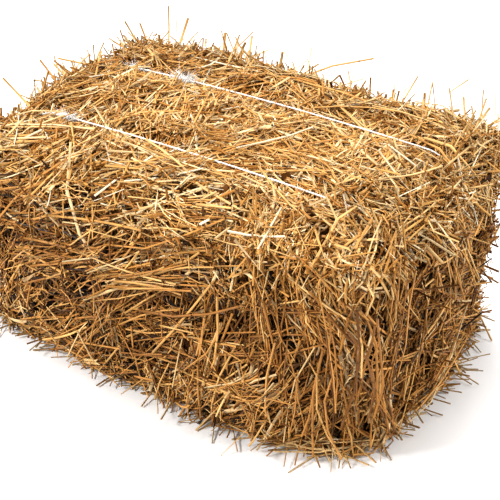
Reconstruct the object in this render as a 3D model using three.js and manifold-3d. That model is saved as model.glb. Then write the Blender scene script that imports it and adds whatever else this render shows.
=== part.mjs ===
// A bale of cereal straw, lying flat with its two twines on top.
// The press packs the straw one stroke at a time, so the bale is a row of flakes, and two loops of
// twine round its length hold the row together. Each flake is one solid with the wisps that stand
// out of it, and each twine is one solid with its knot and frayed tails.
// Millimetres, +Z up. The origin is on the ground under the middle of the bale, +X along the twines.

import * as THREE from "three";
import { mergeVertices } from "three/addons/utils/BufferGeometryUtils.js";
import Module from "manifold-3d";

const wasm = await Module();
wasm.setup();

// Driving dimensions of the packed straw
const LENGTH = 690;
const WIDTH = 460;
const HEIGHT = 360;
const CROWN = 16; // rise of the top above the twines
const SIDE_BULGE = 8;
const END_BULGE = 12;
const END_NARROWING = 0.09; // of the width, at mid-height of an open end
const TOP_EDGE_RADIUS = 62;
const GROUND_EDGE_RADIUS = 42;
const TIP_REACH = 36; // how far the longest wisps stand out past the packed straw

// Flakes, from the -X end, by their share of the length
const FLAKE_SHARES = [1.06, 0.93, 1.05, 0.97, 1.02, 0.92, 1.05];
const CREVICE = 1; // gap between flakes
const CREVICE_DEPTH = 9; // how far a flake's rim draws in at the gap
const RIM = 14; // length of that rim along X
const LUMP = 6.5; // height of the lumps
const LUMP_TURNS = [3, 5, 8]; // how many lumps of each size go round a flake
const END_LUMP_SPAN = { y: 34, z: 26 };
const END_HEIGHTS = [0.88, 0.5, 0.06]; // rings of an open end, by their share of the height

// Twines
const TWINE_DIAMETER = 3;
const TWINE_SPACING = 210;
const TWINE_CORNER = 48;
const TWINE_GROUND_GAP = 6; // from the ground to the centre of the twine underneath
const TWINE_BITE = 6; // how far the twine draws in past the packed length at each end
const GROOVE_DEPTH = 13;
const GROOVE_WIDTH = 34;
const SLIT_WIDTH = 8;
const SLIT_CLEARANCE = 0.8;
const TWINES = [
  { name: "twine_front", y: -TWINE_SPACING / 2, knotX: -244 },
  { name: "twine_back", y: TWINE_SPACING / 2, knotX: -176 },
];
const KNOT = { length: 18, width: 7, height: 7 };
const TAIL = { length: 34, splay: 8, rise: 9, root: 1.2, brush: 4 };
const KNOT_ROOM = { along: 42, across: 14 };
const TWINE_SIDES = 6;
const CORNER_TURNS = [0, 0.25, 0.5, 0.75, 1];

// Wisps: sheaves of straw that stand out of a flake
const WISP_LENGTH = [110, 190]; // shortest and longest
const WISP_RISE = [0.3, 1.1]; // of the reach
const WISP_ROOT = 6.5;
const WISP_TIP = 2.2;
const WISP_STEPS = 2;
const WISP_SIDES = 4;
const WISP_DRIFT = 0.2; // slope along X
const WISP_HEIGHTS = [0.4, 0.72]; // on the two long sides, of the bale's height
const END_WISP_HEIGHTS = [0.38, 0.7];
const RANDOM_SEED = 41;

const STRAW = { color: 0xc9974a, roughness: 0.62, metalness: 0 };
const TWINE = { color: 0xeceae4, roughness: 0.5, metalness: 0 };

// A repeatable source of random numbers from 0 to 1
function randomFrom(seed) {
  let state = seed;
  return () => {
    state = (state + 0x6d2b79f5) | 0;
    let t = Math.imul(state ^ (state >>> 15), 1 | state);
    t = (t + Math.imul(t ^ (t >>> 7), 61 | t)) ^ t;
    return ((t ^ (t >>> 14)) >>> 0) / 4294967296;
  };
}
const random = randomFrom(RANDOM_SEED);
const between = (low, high) => low + (high - low) * random();

// Solids
function solidOf(geometry) {
  geometry.deleteAttribute("normal");
  geometry.deleteAttribute("uv");
  const merged = mergeVertices(geometry, 1e-3);
  return new wasm.Manifold(
    new wasm.Mesh({
      numProp: 3,
      vertProperties: merged.attributes.position.array,
      triVerts: new Uint32Array(merged.index.array),
    }),
  );
}

function geometryOf(solid) {
  const mesh = solid.getMesh();
  const geometry = new THREE.BufferGeometry();
  geometry.setAttribute("position", new THREE.BufferAttribute(mesh.vertProperties, 3));
  geometry.setIndex(new THREE.BufferAttribute(mesh.triVerts, 1));
  geometry.computeVertexNormals();
  return geometry;
}

// Triangles over a ring that bulges everywhere
function roundCap(ring) {
  return ring.slice(2).map((_, i) => [0, i + 1, i + 2]);
}

// The same three corners of a ring, wound to face +X
function facingX(ring, triangle) {
  const outline = triangle.map((i) => new THREE.Vector2(ring[i].y, ring[i].z));
  return THREE.ShapeUtils.isClockWise(outline) ? triangle.reverse() : triangle;
}

// Triangles over a flat ring of any outline in Y and Z
function flatCap(ring) {
  const outline = ring.map((p) => new THREE.Vector2(p.y, p.z));
  return THREE.ShapeUtils.triangulateShape(outline, []).map((triangle) => facingX(ring, triangle));
}

// Triangles over a long narrow slot, from its low side to its high side
function slotCap(ring) {
  const acrossBale = ring.map((_, i) => i).sort((a, b) => ring[a].y - ring[b].y);
  let [low, high] = [acrossBale[0], acrossBale[0]];
  const triangles = [];
  for (const next of acrossBale.slice(1)) {
    if (low !== high) triangles.push(facingX(ring, [low, high, next]));
    if (ring[next].z > MIDDLE.z) high = next;
    else low = next;
  }
  return triangles;
}

// A closed skin over rings of points, each ring in the same order, with a cap at each end
function loft(rings, firstCap, lastCap) {
  const count = rings[0].length;
  const last = (rings.length - 1) * count;
  const index = firstCap(rings[0]).flatMap((triangle) => triangle.reverse());
  index.push(...lastCap(rings.at(-1)).flatMap((triangle) => triangle.map((i) => last + i)));
  for (let ring = 0; ring < last; ring += count) {
    for (let i = 0; i < count; i++) {
      const next = (i + 1) % count;
      index.push(ring + i, ring + next, ring + count + next);
      index.push(ring + i, ring + count + next, ring + count + i);
    }
  }
  return new THREE.BufferGeometry().setFromPoints(rings.flat()).setIndex(index);
}

// A rod of that many sides along a curve, with radius(t) from t 0 at its root to 1 at its tip
function rod(curve, steps, sides, radius) {
  const frames = curve.computeFrenetFrames(steps, false);
  const rings = [];
  for (let i = 0; i <= steps; i++) {
    const centre = curve.getPointAt(i / steps);
    const ring = [];
    for (let k = 0; k < sides; k++) {
      const angle = (2 * Math.PI * k) / sides;
      const out = frames.normals[i].clone().multiplyScalar(Math.cos(angle));
      out.addScaledVector(frames.binormals[i], Math.sin(angle));
      ring.push(out.multiplyScalar(radius(i / steps)).add(centre));
    }
    rings.push(ring);
  }
  return solidOf(loft(rings, roundCap, roundCap));
}

function box(low, high) {
  const size = high.map((v, i) => v - low[i]);
  const geometry = new THREE.BoxGeometry(...size);
  geometry.translate(...high.map((v, i) => (v + low[i]) / 2));
  return solidOf(geometry);
}

// The main body of a solid, without the tips that a twine or a neighbour cuts off
function largestOf(solid) {
  return solid.decompose().reduce((most, body) => (body.volume() > most.volume() ? body : most));
}

// The bale's cross-section in Y and Z, from the middle of the ground round by +Y to the crown.
// loose is how free the straw is to stand out there: 0 on the ground and 1 on an open face.
const twineY = TWINE_SPACING / 2;
const groove = (y) => GROOVE_DEPTH * Math.exp(-(((Math.abs(y) - twineY) / (GROOVE_WIDTH / 2)) ** 2));
const crown = (y) => CROWN * (1 - (2 * y / WIDTH) ** 2) - groove(y);

function halfSection() {
  const points = [];
  const add = (y, z, loose) => points.push({ y, z, loose });
  const groundEdge = WIDTH / 2 - GROUND_EDGE_RADIUS;
  const topEdge = WIDTH / 2 - TOP_EDGE_RADIUS;
  const hollow = [-1, -0.5, 0, 0.5, 1].map((step) => twineY + step * GROOVE_WIDTH);
  for (const y of [0, ...hollow]) add(y, 0, 0);
  for (const turn of [0.1, 0.5, 0.9]) {
    const angle = turn * (Math.PI / 2);
    add(
      groundEdge + GROUND_EDGE_RADIUS * Math.sin(angle),
      GROUND_EDGE_RADIUS * (1 - Math.cos(angle)),
      turn * turn,
    );
  }
  const sideTop = HEIGHT - TOP_EDGE_RADIUS;
  for (const rise of [0.25, 0.5, 0.75, 1]) {
    const z = GROUND_EDGE_RADIUS + rise * (sideTop - GROUND_EDGE_RADIUS);
    add(WIDTH / 2 + SIDE_BULGE * Math.sin(rise * Math.PI), z, 1);
  }
  for (const turn of [0.33, 0.66]) {
    const angle = turn * (Math.PI / 2);
    add(
      topEdge + TOP_EDGE_RADIUS * Math.cos(angle),
      sideTop + TOP_EDGE_RADIUS * Math.sin(angle),
      1,
    );
  }
  for (const y of [topEdge, ...hollow.reverse(), twineY - 2 * GROOVE_WIDTH, 0]) {
    add(y, HEIGHT + crown(y), Math.abs(y - twineY) < GROOVE_WIDTH ? 0.3 : 1);
  }
  return points;
}

const half = halfSection();
const mirrored = half.slice(1, -1).reverse().map((p) => ({ ...p, y: -p.y }));
const SECTION = [...half, ...mirrored];
const MIDDLE = { y: 0, z: HEIGHT / 2 };

// One ring of a flake at x, drawn in by inset, with its own lumps
function sectionRing(x, inset, lumps) {
  return SECTION.map((p, i) => {
    const out = new THREE.Vector2(p.y - MIDDLE.y, p.z - MIDDLE.z);
    const reach = out.length();
    const swell = p.loose * lumps(i / SECTION.length) - inset;
    out.multiplyScalar((reach + swell) / reach);
    return new THREE.Vector3(x, MIDDLE.y + out.x, Math.max(0, MIDDLE.z + out.y));
  });
}

// The rings of an end flake's open face beyond its rim at x: they close on its middle line, and the
// face bulges between and beside the twines
function endRings(x, outward) {
  const phase = between(0, 2 * Math.PI);
  const lump = (y, z) =>
    LUMP * Math.sin(y / END_LUMP_SPAN.y + phase) * Math.sin(z / END_LUMP_SPAN.z + 2 * phase);
  return END_HEIGHTS.map((scale) =>
    SECTION.map((p) => {
      const y = p.y * (1 - END_NARROWING * (1 - scale));
      const z = MIDDLE.z + (p.z - MIDDLE.z) * scale;
      const bulge = END_BULGE * (1 - scale ** 3) * (1 - (2 * y / WIDTH) ** 4);
      return new THREE.Vector3(x + outward * (RIM / 2 + bulge - groove(y) + lump(y, z)), y, z);
    }),
  );
}

// Lumps round a flake, each with its own place: a height for every share of the way round
function lumpiness() {
  const waves = LUMP_TURNS.map((turns) => ({ turns, phase: between(0, 2 * Math.PI) }));
  const wave = ({ turns, phase }, along) => Math.sin(2 * Math.PI * turns * along + phase);
  return (along) =>
    (LUMP / Math.sqrt(waves.length)) * waves.reduce((sum, each) => sum + wave(each, along), 0);
}

// The packed straw of one flake between two planes
function flakeBody(low, high, end) {
  const ridge = between(0.35, 0.65) * (high - low);
  const rings = [
    sectionRing(low, CREVICE_DEPTH, lumpiness()),
    sectionRing(low + RIM, 0, lumpiness()),
    sectionRing(low + ridge, 0, lumpiness()),
    sectionRing(high - RIM, 0, lumpiness()),
    sectionRing(high, CREVICE_DEPTH, lumpiness()),
  ];
  if (end > 0) rings.push(...endRings(high, end));
  if (end < 0) rings.unshift(...endRings(low, end).reverse());
  const caps = [end < 0 ? slotCap : flatCap, end > 0 ? slotCap : flatCap];
  return solidOf(loft(rings, ...caps));
}

// A wisp that leaves the straw at a point of its surface, along the surface and out of it
function wisp(point, along, out, length, rise) {
  const root = point.clone().addScaledVector(along, -0.5 * length).addScaledVector(out, -WISP_ROOT);
  const bend = point.clone().addScaledVector(along, 0.1 * length).addScaledVector(out, WISP_ROOT);
  const tip = point.clone().addScaledVector(along, 0.5 * length).addScaledVector(out, rise);
  const curve = new THREE.QuadraticBezierCurve3(root, bend, tip);
  return rod(curve, WISP_STEPS, WISP_SIDES, (t) => WISP_ROOT + (WISP_TIP - WISP_ROOT) * t);
}

const wispLength = () => between(...WISP_LENGTH);
const wispRise = () => between(...WISP_RISE) * TIP_REACH;

// Wisps of one flake: on its two sides they hang down, on top they lie across the bale
function flakeWisps(low, high) {
  const wisps = [];
  const x = () => between(low + RIM, high - RIM);
  const drift = () => between(-WISP_DRIFT, WISP_DRIFT);
  for (const side of [-1, 1]) {
    const out = new THREE.Vector3(0, side, 0);
    for (const height of WISP_HEIGHTS) {
      const point = new THREE.Vector3(x(), side * (WIDTH / 2 + SIDE_BULGE / 2), height * HEIGHT);
      const along = new THREE.Vector3(drift(), 0, -1);
      wisps.push(wisp(point, along, out, wispLength(), wispRise()));
    }
    const edge = new THREE.Vector3(x(), side * (WIDTH / 2 - TOP_EDGE_RADIUS), HEIGHT + CROWN / 4);
    const over = new THREE.Vector3(drift(), side, 0);
    wisps.push(wisp(edge, over, new THREE.Vector3(0, 0, 1), wispLength(), wispRise()));
  }
  const middle = new THREE.Vector3(x(), between(-0.2, 0.2) * TWINE_SPACING, HEIGHT + CROWN);
  const across = new THREE.Vector3(2 * drift(), Math.sign(random() - 0.5), 0);
  wisps.push(wisp(middle, across, new THREE.Vector3(0, 0, 1), WISP_LENGTH[0], wispRise()));
  return wisps;
}

// Wisps on the open face of an end flake, in the three lanes that the twines leave
function endWisps(face, outward) {
  const out = new THREE.Vector3(outward, 0, 0);
  const wisps = [];
  for (const lane of [-0.85, 0, 0.85]) {
    for (const height of END_WISP_HEIGHTS) {
      const y = lane * TWINE_SPACING + between(-0.15, 0.15) * TWINE_SPACING;
      const point = new THREE.Vector3(face + outward * END_BULGE * 0.5, y, height * HEIGHT);
      const along = new THREE.Vector3(0, between(-0.5, 0.5), -1).normalize();
      wisps.push(wisp(point, along, out, wispLength(), wispRise()));
    }
  }
  return wisps;
}

// Twines: a loop round the length of the bale in the plane y = 0
const loopX = LENGTH / 2 - TWINE_BITE;
const loopLow = TWINE_GROUND_GAP;
const loopHigh = HEIGHT - GROOVE_DEPTH + CROWN;

function roundedLoop(grow) {
  const shape = new THREE.Path();
  const [left, right] = [-loopX - grow, loopX + grow];
  const [low, high] = [loopLow - grow, loopHigh + grow];
  const radius = TWINE_CORNER + grow;
  shape.absarc(right - radius, low + radius, radius, -Math.PI / 2, 0);
  shape.absarc(right - radius, high - radius, radius, 0, Math.PI / 2);
  shape.absarc(left + radius, high - radius, radius, Math.PI / 2, Math.PI);
  shape.absarc(left + radius, low + radius, radius, Math.PI, 1.5 * Math.PI);
  return shape.closePath();
}

// The slit that a twine cuts in the straw: everything outside the loop, SLIT_WIDTH wide
function slit(y) {
  const far = LENGTH;
  const plate = new THREE.Shape();
  plate.moveTo(-far, -far).lineTo(far, -far).lineTo(far, far).lineTo(-far, far).closePath();
  plate.holes.push(roundedLoop(-TWINE_DIAMETER / 2 - SLIT_CLEARANCE));
  const geometry = new THREE.ExtrudeGeometry(plate, {
    depth: SLIT_WIDTH,
    bevelEnabled: false,
    curveSegments: 5,
  });
  geometry.rotateX(Math.PI / 2);
  geometry.translate(0, y + SLIT_WIDTH / 2, 0);
  return solidOf(geometry);
}

// The corners of a twine's route: out of its knot, round the bale and back into the knot
function loopRoute(knotX) {
  const point = (x, z) => new THREE.Vector3(x, 0, z);
  const corner = (x, z, start) =>
    CORNER_TURNS.map((turn) => {
      const angle = start - turn * (Math.PI / 2);
      return point(x + TWINE_CORNER * Math.cos(angle), z + TWINE_CORNER * Math.sin(angle));
    });
  const across = loopX - TWINE_CORNER;
  const [low, high] = [loopLow + TWINE_CORNER, loopHigh - TWINE_CORNER];
  return [
    point(knotX + TWINE_DIAMETER, loopHigh),
    ...corner(across, high, Math.PI / 2),
    ...corner(across, low, 0),
    ...corner(-across, low, -Math.PI / 2),
    ...corner(-across, high, -Math.PI),
    point(knotX - TWINE_DIAMETER, loopHigh),
  ];
}

// The loop's skin: one ring at each corner of its route, square to the route there
function loopTwine(knotX) {
  const route = loopRoute(knotX);
  const across = new THREE.Vector3(0, 1, 0);
  const rings = route.map((centre, i) => {
    const before = route[Math.max(i - 1, 0)];
    const after = route[Math.min(i + 1, route.length - 1)];
    const ahead = after.clone().sub(centre).normalize().add(centre.clone().sub(before).normalize());
    const up = new THREE.Vector3().crossVectors(ahead.normalize(), across);
    return Array.from({ length: TWINE_SIDES }, (_, k) => {
      const angle = (2 * Math.PI * k) / TWINE_SIDES;
      const out = across.clone().multiplyScalar(Math.cos(angle)).addScaledVector(up, Math.sin(angle));
      return out.multiplyScalar(TWINE_DIAMETER / 2).add(centre);
    });
  });
  return solidOf(loft(rings, roundCap, roundCap));
}

// The knot is a lump of doubled twine, and its two tails are frayed brushes lying along the top
function knot(x) {
  const lump = new THREE.SphereGeometry(0.5, 10, 6);
  lump.scale(KNOT.length, KNOT.width, KNOT.height);
  lump.translate(x, 0, loopHigh + TWINE_DIAMETER / 2);
  const tails = [-1, 1].map((way) => {
    const root = new THREE.Vector3(x, 0, loopHigh + TWINE_DIAMETER);
    const bend = root.clone().add(new THREE.Vector3((way * TAIL.length) / 2, 0, TAIL.rise / 2));
    const tip = root.clone().add(new THREE.Vector3(way * TAIL.length, way * TAIL.splay, TAIL.rise));
    const curve = new THREE.QuadraticBezierCurve3(root, bend, tip);
    return rod(curve, 4, TWINE_SIDES, (t) => TAIL.root + (TAIL.brush - TAIL.root) * t);
  });
  return tails.reduce((joined, tail) => joined.add(tail), solidOf(lump));
}

// The hollow in the straw under a knot and its tails
function knotRoom({ knotX, y }) {
  const { along, across } = KNOT_ROOM;
  const floor = loopHigh - TWINE_DIAMETER / 2 - SLIT_CLEARANCE;
  return box([knotX - along, y - across, floor], [knotX + along, y + across, 2 * HEIGHT]);
}

// Room for the twines, cut out of every flake
const twineRoom = TWINES.map((twine) => slit(twine.y).add(knotRoom(twine))).reduce((all, cut) =>
  all.add(cut),
);

// One flake between two planes: its packed straw and wisps, kept inside its own slice of the bale.
// end is -1 or 1 for the flake with the open face at that end of the bale, and 0 for the others.
function flakeSolid(low, high, end) {
  const wisps = flakeWisps(low, high);
  if (end) wisps.push(...endWisps((end * LENGTH) / 2, end));
  const [tipX, tipY] = [LENGTH / 2 + TIP_REACH, WIDTH / 2 + TIP_REACH];
  const slice = box(
    [end < 0 ? -tipX : low, -tipY, 0],
    [end > 0 ? tipX : high, tipY, HEIGHT + CROWN + TIP_REACH],
  );
  const straw = wisps.reduce((joined, each) => joined.add(each), flakeBody(low, high, end));
  return largestOf(straw.intersect(slice).subtract(twineRoom));
}

// The bale
const bale = new THREE.Group();

function addNode(name, solid, finish) {
  const mesh = new THREE.Mesh(geometryOf(solid), new THREE.MeshStandardMaterial(finish));
  mesh.name = name;
  bale.add(mesh);
  return mesh;
}

const shareSum = FLAKE_SHARES.reduce((sum, share) => sum + share, 0);
let start = -LENGTH / 2;
FLAKE_SHARES.forEach((share, i) => {
  const stop = start + (LENGTH * share) / shareSum;
  const [isFirst, isLast] = [i === 0, i === FLAKE_SHARES.length - 1];
  const low = start + (isFirst ? RIM : CREVICE / 2);
  const high = stop - (isLast ? RIM : CREVICE / 2);
  addNode(`flake_${i + 1}`, flakeSolid(low, high, isLast - isFirst), STRAW);
  start = stop;
});

for (const { name, y, knotX } of TWINES) {
  addNode(name, loopTwine(knotX).add(knot(knotX)), TWINE).position.y = y;
}

export default bale;
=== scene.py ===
"""The looks of a straw bale: its stalks, leaves, chaff and frayed twines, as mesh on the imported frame.

Metres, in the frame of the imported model: +X along the twines, +Y to the far long side, +Z up, and the
origin on the floor under the middle of the bale. Where something changes from one place to another, the
pair of places is written from where the change starts to where it is complete.
"""

import math
from dataclasses import dataclass

import bpy
import numpy as np
from mathutils import Matrix, Vector


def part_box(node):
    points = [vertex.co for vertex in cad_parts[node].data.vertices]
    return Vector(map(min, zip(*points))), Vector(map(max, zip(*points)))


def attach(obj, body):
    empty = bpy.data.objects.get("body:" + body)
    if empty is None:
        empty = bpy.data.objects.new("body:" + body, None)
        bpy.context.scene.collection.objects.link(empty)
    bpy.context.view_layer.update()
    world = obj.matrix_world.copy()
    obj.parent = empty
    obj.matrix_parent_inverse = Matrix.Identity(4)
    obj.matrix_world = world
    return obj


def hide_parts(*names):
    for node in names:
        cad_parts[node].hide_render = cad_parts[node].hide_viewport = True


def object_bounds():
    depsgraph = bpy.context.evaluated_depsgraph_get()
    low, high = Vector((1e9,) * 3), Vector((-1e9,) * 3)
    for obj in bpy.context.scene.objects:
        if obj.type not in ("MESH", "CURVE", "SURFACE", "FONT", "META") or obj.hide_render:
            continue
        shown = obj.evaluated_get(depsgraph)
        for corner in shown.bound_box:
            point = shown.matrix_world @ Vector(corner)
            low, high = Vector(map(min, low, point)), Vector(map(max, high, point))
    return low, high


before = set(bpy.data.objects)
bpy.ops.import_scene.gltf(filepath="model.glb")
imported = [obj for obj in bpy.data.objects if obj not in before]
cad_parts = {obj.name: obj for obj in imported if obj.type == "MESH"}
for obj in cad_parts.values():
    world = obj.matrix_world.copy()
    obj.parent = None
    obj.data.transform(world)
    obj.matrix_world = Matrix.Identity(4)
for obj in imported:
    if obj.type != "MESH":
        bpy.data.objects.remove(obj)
CAD_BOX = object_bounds()
rng = np.random.default_rng(20)

# Packed straw: the box that it fills, and the flakes along it
LENGTH = 0.700
WIDTH = 0.456
HEIGHT = 0.360
HALF = np.array([LENGTH, WIDTH, HEIGHT]) / 2
MIDDLE = np.array([0.0, 0.0, HEIGHT / 2])
FLAKES = [f"flake_{number}" for number in range(1, 8)]

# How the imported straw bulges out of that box
CROWN = 0.009
SIDE_BULGE = 0.012
END_BULGE = 0.010
BELLY = 0.012  # low on the front
BELLY_X = 0.15
BELLY_WIDTH = 0.09
BELLY_Z = (0.22, 0.04)
LUMP = 0.006
DENT = 0.006
SMOOTHER_TOP = 0.6  # share of the dents that the top doesn't have
SMOOTHER_BY_TWINE = 0.9  # share of the lumps and dents that the twines press flat

# How its edges and corners are rounded, sunk and worn
EDGE_RADIUS = 0.036
EDGE_TURN = 0.2  # share of that radius by which the way out starts to turn before the edge
CORNER_LOSS = 0.030
CORNER_LOSS_AT_FLOOR = 1.8  # times as much there, and less and less of it higher up
SLUMP = 0.022  # of the top, to the left of the front
SLUMP_X = (-0.18, -0.34)
SLUMP_Y = (0.02, -0.18)
FOOT_CUT = np.array([0.535, -0.845, -0.167])  # the way the worn foot of the near corner faces
FOOT_CUT_AT = 0.314
FOOT_CUT_BLEND = 0.012

# How far loose straw may reach: the box of the CAD model and a little more
REACH_LOW = np.array(CAD_BOX[0]) - (0.024, 0.017, 0.0)
REACH_HIGH = np.array(CAD_BOX[1]) + (0.024, 0.017, 0.017)
REACH_MARGIN = 0.003  # stiff stalks end this far before the low sides
REACH_SKIN = 0.0002  # room left beyond a stalk's own thickness

# Twines
TWINE_RADIUS = 0.0014
TWINE_Y = 0.105
TWINE_TOP = 0.354
TWINE_RISE = 0.009  # how much higher they run in the middle of the top
TWINE_LOW = 0.006
TWINE_CORNER = 0.070
TWINE_END = 0.341
STRANDS = 3
LAY_LENGTH = 0.013

# Grooves that the twines press into the straw
GROOVE_DEPTH = 0.009
GROOVE_DEPTH_AT_ENDS = 0.018
GROOVE_WIDTH = 0.044
END_GROOVE_DEPTH = 0.016
EDGE_GROOVE_DEPTH = 0.022

# Palette: every stalk takes one row of the straw's colours, from dark brown to bleached
ROWS = 128
STALK_ROWS = 107
LEAF_ROW = STALK_ROWS + 2  # the first row of the greyer beige of leaves
ROW_MARGIN = 0.1  # share of a row left free on both sides of it
CUT_END_PAINTED_SHADE = 0.55  # the cut ends' row, as a share of the stalk's own: darker, as painted shade of the hollow inside the stalk
STRIP = 0.30  # length of straw that the palette's width stands for
JOINT_SPACING = 0.15

# Camera and picture
CAMERA_PLACE = (0.910, -1.329, 1.148)
CAMERA_AZIMUTH = math.radians(33.66)
CAMERA_ELEVATION = math.radians(31.87)
CAMERA_LENS = 85.55  # millimetres, as is the sensor
CAMERA_SENSOR = 36
GAMMA = 0.86


# Vectors and random fields

def unit(vectors):
    return vectors / np.maximum(np.linalg.norm(vectors, axis=-1, keepdims=True), 1e-9)


def without(vectors, axis):
    """The vectors with what they have along the axis taken out."""
    return vectors - axis * (vectors * axis).sum(axis=-1, keepdims=True)


def smoothstep(low, high, value):
    t = np.clip((value - low) / (high - low), 0, 1)
    return t * t * (3 - 2 * t)


class Waves:
    """A smooth random field round 0 with a spread of about 1: waves of several lengths that cross."""

    def __init__(self, shortest, longest, count=14):
        ways = unit(rng.normal(size=(count, 3)))
        self.turns = ways * (2 * np.pi / rng.uniform(shortest, longest, (count, 1)))
        self.phases = rng.uniform(0, 2 * np.pi, count)

    def __call__(self, points):
        waves = np.sin(points @ self.turns.T + self.phases)
        return waves.sum(axis=-1) * (1.4 / math.sqrt(len(self.phases)))


lumps = Waves(0.06, 0.20)
dents = Waves(0.03, 0.08)
swirl = Waves(0.10, 0.34)
second_swirl = Waves(0.08, 0.26)
gaps = Waves(0.02, 0.055)


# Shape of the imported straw

SETTLE_STEPS = 4


def swelling(points, out, roughness):
    """How far the straw stands out of, or is pulled into, the plain rounded box."""
    x, y, z = points[..., 0], points[..., 1], points[..., 2]
    top = np.clip(out[..., 2], 0, 1)
    side, end = out[..., 1] ** 2, out[..., 0] ** 2
    bulge = CROWN * top * (1 - (2 * y / WIDTH) ** 4) + SIDE_BULGE * side * (1 - (2 * x / LENGTH) ** 2)
    bulge = bulge + END_BULGE * end * (1 - (2 * y / WIDTH) ** 2)
    belly = np.exp(-(((x - BELLY_X) / BELLY_WIDTH) ** 2)) * smoothstep(*BELLY_Z, z)
    bulge = bulge + BELLY * (belly * np.clip(-out[..., 1], 0, 1))
    by_twine = np.exp(-(((np.abs(y) - TWINE_Y) / (GROOVE_WIDTH / 2)) ** 2))
    edge = 4 * end * top**2
    top_groove = GROOVE_DEPTH + (GROOVE_DEPTH_AT_ENDS - GROOVE_DEPTH) * (2 * x / LENGTH) ** 2
    grooves = by_twine * (top_groove * top + END_GROOVE_DEPTH * end + EDGE_GROOVE_DEPTH * edge)
    corners = CORNER_LOSS * np.clip(np.abs(4 * x * y / (LENGTH * WIDTH)), 0, 1) ** 5
    corners = corners * (CORNER_LOSS_AT_FLOOR - z / HEIGHT)
    slump = SLUMP * top * smoothstep(*SLUMP_X, x) * smoothstep(*SLUMP_Y, y)
    rough = LUMP * lumps(points) + DENT * (1 - SMOOTHER_TOP * top) * dents(points)
    rough = rough * (1 - SMOOTHER_BY_TWINE * by_twine)
    swell = bulge - grooves - corners * (1 - top) - slump + roughness * rough
    return swell * (1 - np.clip(-out[..., 2], 0, 1))


def outside_of(points, roughness=1.0):
    """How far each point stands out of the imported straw, and the way out there."""
    offset = points - MIDDLE
    beyond = np.abs(offset) - (HALF - EDGE_RADIUS)
    reach = np.linalg.norm(np.maximum(beyond, 0), axis=-1)
    height = reach + np.minimum(beyond.max(axis=-1), 0) - EDGE_RADIUS
    out = unit(np.sign(offset) * np.maximum(beyond + EDGE_TURN * EDGE_RADIUS, 1e-6))
    height = height - swelling(points, out, roughness)
    foot = points @ FOOT_CUT - FOOT_CUT_AT
    cut = smoothstep(-FOOT_CUT_BLEND, FOOT_CUT_BLEND, foot - height)[..., None]
    return np.maximum(height, foot), unit(out * (1 - cut) + FOOT_CUT * cut)


def settle(points, depth):
    """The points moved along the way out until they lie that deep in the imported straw."""
    for _ in range(SETTLE_STEPS):
        height, out = outside_of(points)
        points = points - out * (height + depth)[..., None]
    return points, out


# Faces of the bale

@dataclass
class Face:
    """A face of the bale: its axes and the looks of its straw."""

    out: tuple  # the way out
    across: tuple  # sideways
    along: tuple  # the way that angle 0 runs
    share: float  # how much of all the straw it has
    painted_light_rows: int  # palette rows of painted light by which it is lighter than the middle, and of painted shade where they are below 0
    gap_level: float  # level of the gaps field above which stalks are missing
    painted_shade_per_metre: float  # painted shade: palette rows darker for each metre deeper

    def axes(self):
        return [np.array(axis, float) for axis in (self.out, self.across, self.along)]


# Rows of painted light and shade for each face: the top lighter and the front and near end darker by how
# light falls on them, the back and far end lighter against their shade
FACES = {
    "top": Face((0, 0, 1), (1, 0, 0), (0, 1, 0), 0.31, 6, 1.35, 1000),
    "front": Face((0, -1, 0), (1, 0, 0), (0, 0, -1), 0.23, -13, 0.60, 2700),
    "back": Face((0, 1, 0), (1, 0, 0), (0, 0, -1), 0.17, 8, 0.70, 1500),
    "near_end": Face((1, 0, 0), (0, 1, 0), (0, 0, -1), 0.14, -13, 0.55, 2800),
    "far_end": Face((-1, 0, 0), (0, 1, 0), (0, 0, -1), 0.12, 10, 0.70, 1500),
    "bottom": Face((0, 0, -1), (1, 0, 0), (0, 1, 0), 0.03, 0, 1.35, 1500),
}

# Palette rows of painted light by which a side is lighter at its brim and at its foot, and the heights of
# these
PAINTED_LIGHT_AT_BRIM = 20
PAINTED_LIGHT_AT_FOOT = 5
BRIM_Z = (0.26, 0.36)
FOOT_Z = (0.16, 0.03)
BRIM_SPARED_SHADE = 0.4  # share of the painted shade of depth that the brim doesn't have


def on_face(face, count):
    """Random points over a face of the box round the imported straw."""
    out, across, along = FACES[face].axes()
    shares = rng.uniform(-1, 1, (2, count, 1))
    return MIDDLE + out * HALF + shares[0] * across * HALF + shares[1] * along * HALF


def painted_shade_at(face, centre, deep, painted_shade_share):
    """Palette rows of painted shade by which stalks are darker, the more the deeper they lie and less so at
    the brim of a side, and of painted light by which a side is lighter at its brim and foot.
    """
    painted_shade = painted_shade_share * FACES[face].painted_shade_per_metre * np.maximum(deep, 0)
    if face == "top":
        return painted_shade
    brim = smoothstep(*BRIM_Z, centre[:, 2])
    painted_shade = painted_shade * (1 - BRIM_SPARED_SHADE * brim) - PAINTED_LIGHT_AT_BRIM * brim
    return painted_shade - PAINTED_LIGHT_AT_FOOT * smoothstep(*FOOT_Z, centre[:, 2])


# The ways that stalks run, in degrees, and by how much the swirls turn them. Angle 0 is across the bale on
# top and straight down on a side, and 90 is sideways.
CROSSWISE = (16, 34)
LENGTHWISE = (112, 40)
HANGING = (4, 24)
LYING = (112, 26)
LYING_ON_NEAR_END = (82, 20)

# Shares of the stalks that run one of these ways: a share, how much more, and from where to where it grows
LENGTHWISE_BY_X = (0.20, 0.40, -0.12, 0.18)
FRONT_HANGING_BY_X = (0.15, 0.70, 0.02, 0.26)
FRONT_HANGING_BY_Z = (0.0, 0.25, 0.20, 0.05)
END_HANGING_BY_Y = (0.15, 0.75, 0.04, -0.16)
HANGING_BEHIND = 0.65


def graded(share, more, start, stop, place):
    return share + more * smoothstep(start, stop, place)


def turned(way, field):
    angle, swing = way
    return angle + swing * field


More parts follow.
